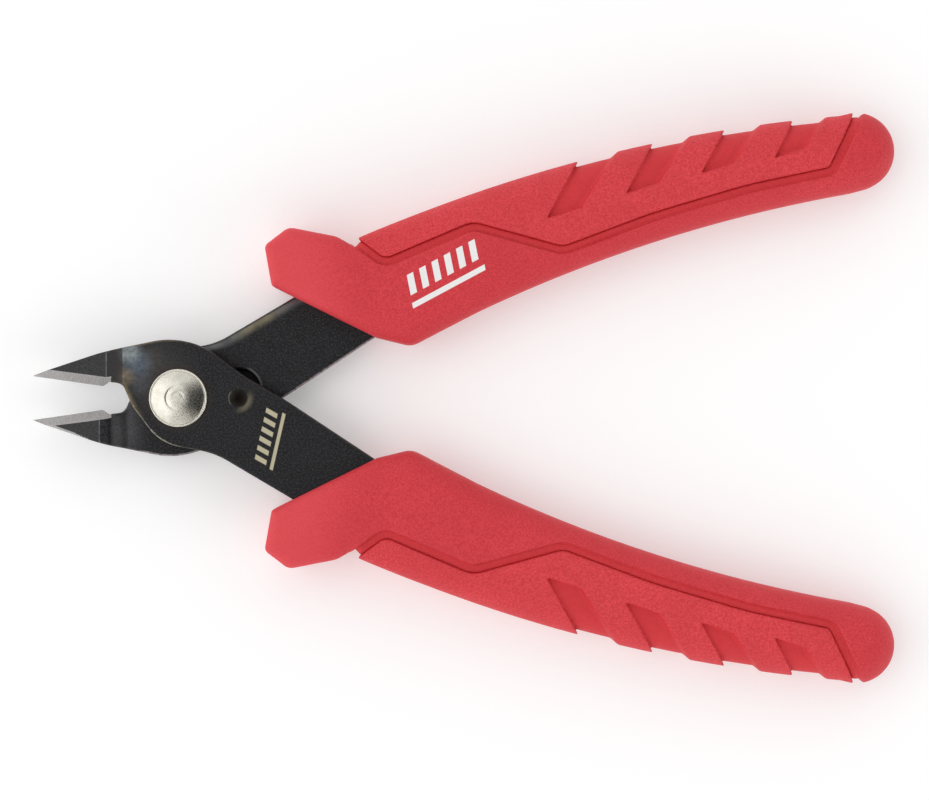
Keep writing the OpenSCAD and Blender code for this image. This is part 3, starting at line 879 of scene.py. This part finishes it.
def plate_faces(x, y, zs, outline, side):
    """The two bent faces of a half, the inner one rolled over along the arm's outer edge."""
    across = x * math.cos(half_open) - y * math.sin(half_open)
    tip, beyond = -jaw_len - 1, 120
    inner, inner_slope = bent(across, inner_ease, (beyond, *inner_bend, taper_start, tip),
                              (face_z, face_z, half_t, half_t, half_t - max(side, 0) * jaw_taper))
    outer, outer_slope = bent(across, outer_ease, (beyond, *outer_bend, taper_start, tip),
                              (-plate_t, -plate_t, -half_t, -half_t, -half_t - min(side, 0) * jaw_taper))

    # the roll begins behind the lap and stays on the outer side of the arm
    rolled = ease(x, 3, 7) * ease(y - 0.43 * x, -3.2, -1.2)
    lip = np.clip(1 + outline / roll_w, 0, 1)
    inner -= roll_drop * rolled * lip ** 2
    inner_slope = np.hypot(inner_slope, 2 * roll_drop / roll_w * rolled * lip)
    return ((zs - inner[:, :, None]) / np.hypot(1, inner_slope)[:, :, None],
            (outer[:, :, None] - zs) / np.hypot(1, outer_slope)[:, :, None])


def plate_field(side):
    """Distance field and depth inside the outline of a half.

    side is 1 for the rear half, bevelled on its inner face, and -1 for the front half.
    """
    low, high = (-23.7, -10.4, -plate_t - 0.5), (88.7, 25.6, half_t + 0.5)
    x, y, zs = sample_axes(low, high, PLATE_STEP)
    zs = zs[None, None, :]
    outline = outline_distance(x, y, plate_outline())
    wall = outline[:, :, None]
    inner, outer = plate_faces(x, y, zs, outline, side)
    crease = (jaw_crease + (edge_crease - jaw_crease) * ease(x, -15, -10))[:, :, None]
    field = blunt_max(blunt_max(wall, inner, crease), outer, crease)

    slope = bevel_w / plate_t
    bevel = (y[:, :, None] + edge_gap / 2 + slope * side * (zs + side * half_t)) / math.hypot(1, slope)
    field = np.maximum(field, np.minimum((bevel_end - x)[:, :, None], bevel))
    field = np.maximum(field, (shank_r + shank_gap - np.hypot(x, y))[:, :, None])
    if side > 0:
        field = blunt_max(field, -spring_pocket_field(x, y, zs), pocket_crease)
        outward = y < dressed_slope * x - dressed_level
        dressed = dressed_w * ease(-x, -dressed_end, -dressed_full) * outward
        field = np.maximum(field, (wall + inner + dressed[:, :, None]) / math.sqrt(2))
    else:
        stud = to_front_drawing(stud_x, 0)
        reach = np.hypot(x - stud[0], y - stud[1])[:, :, None]
        depth = zs + plate_t
        sink = (reach - dimple_r + sink_slope * depth) / math.hypot(1, sink_slope)
        bore = np.maximum(reach - dimple_bore, depth - dimple_depth)
        field = blunt_max(field, -np.minimum(sink, bore), dimple_crease)
        field = np.minimum(field, np.maximum(reach - stud_r, np.abs(zs - stud_top / 2) - stud_top / 2))
    return low, field, np.clip(-outline, 0, 5)


def to_front_drawing(x, y):
    """A place of the open tool, in the drawing of the front half."""
    cos, sin = math.cos(half_open), math.sin(half_open)
    return x * cos - y * sin, -(x * sin + y * cos)


def plates():
    """Both stamped halves."""
    for name, node, side, place, body in (("front_plate", "front_blade", -1, FRONT, "front_half"),
                                          ("rear_plate", "rear_blade", 1, REAR, "rear_half")):
        low, field, inset = plate_field(side)
        points, quads = mesh_field(field, low, PLATE_STEP)
        depth = sample_grid(inset, low, PLATE_STEP, points)
        mesh = field_mesh(name + "_mesh", points, quads, place, "inset", depth)
        new_object(name, mesh, plate_steel(name + "_steel", place, side), body, [node])


# ---- floor, lights and camera ----

dim_patch, dim_edge, dim_strength = (0.45, -0.05, 0.89), (0.835, 0.935), 0.01
floor_reach, floor_drop = 3.0, 0.0002
view_distance, view_width = 0.450, 0.14158
view_offset = (0.0434, -0.0003)


def stage():
    """A plain pale floor, faintly glowing and just clear of the tool."""
    mesh = bpy.data.meshes.new("floor")
    s = floor_reach
    mesh.from_pydata([(-s, -s, 0), (s, -s, 0), (s, s, 0), (-s, s, 0)], [], [(0, 1, 2, 3)])
    floor = bpy.data.objects.new("floor", mesh)
    floor.location.z = -floor_drop
    bpy.context.scene.collection.objects.link(floor)
    m = Nodes("pale_floor")
    m.set(Base_Color=(0.80, 0.80, 0.80, 1), Roughness=0.9, Specular_IOR_Level=0.1,
          Emission_Color=(1, 1, 1, 1), Emission_Strength=0.25)
    mesh.materials.append(m.material)


def area_light(name, place, aim, size, power):
    """A soft white panel in the air, aimed at a point."""
    light = bpy.data.lights.new(name, "AREA")
    light.shape = "RECTANGLE"
    light.size, light.size_y = size
    light.energy = power
    lamp = bpy.data.objects.new(name, light)
    lamp.location = place
    lamp.rotation_euler = (Vector(aim) - Vector(place)).to_track_quat("-Z", "Y").to_euler()
    bpy.context.scene.collection.objects.link(lamp)


def studio_sky():
    """A white surround with one dark patch, up to the right, for the rivet to mirror."""
    world = bpy.data.worlds.new("studio")
    world.use_nodes = True
    tree = world.node_tree
    coords = tree.nodes.new("ShaderNodeTexCoord")
    toward = tree.nodes.new("ShaderNodeVectorMath")
    toward.operation = "DOT_PRODUCT"
    toward.inputs[1].default_value = Vector(dim_patch).normalized()
    tree.links.new(coords.outputs["Generated"], toward.inputs[0])
    dim = tree.nodes.new("ShaderNodeMapRange")
    dim.interpolation_type = "SMOOTHSTEP"
    for socket, value in zip(dim.inputs[1:5], (*dim_edge, 1.0, dim_strength)):
        socket.default_value = value
    tree.links.new(toward.outputs["Value"], dim.inputs[0])
    tree.links.new(dim.outputs[0], tree.nodes["Background"].inputs["Strength"])
    tree.nodes["Background"].inputs["Color"].default_value = (1, 1, 1, 1)
    bpy.context.scene.world = world


def lighting():
    """A broad key from the left, a low fill from the right, and the surround."""
    area_light("key", (-0.75, -0.06, 0.80), (0, 0, 0), (1.1, 1.4), 2.7)
    area_light("low_fill", (0.75, -0.35, 0.35), (0.02, 0, 0), (0.5, 0.5), 1.0)
    studio_sky()
    bpy.context.scene.view_settings.view_transform = "Standard"


def camera():
    """Straight above the tool, so that its open outline fills the frame."""
    data = bpy.data.cameras.new("camera")
    data.sensor_width = 36
    data.lens = data.sensor_width * view_distance / view_width
    data.clip_start = 0.01
    eye = bpy.data.objects.new("camera", data)
    eye.location = (pivot.x + view_offset[0], view_offset[1], pivot.z + view_distance)
    bpy.context.scene.collection.objects.link(eye)
    bpy.context.scene.camera = eye


plates()
rivet()
spring()
grips()
stage()
lighting()
camera()
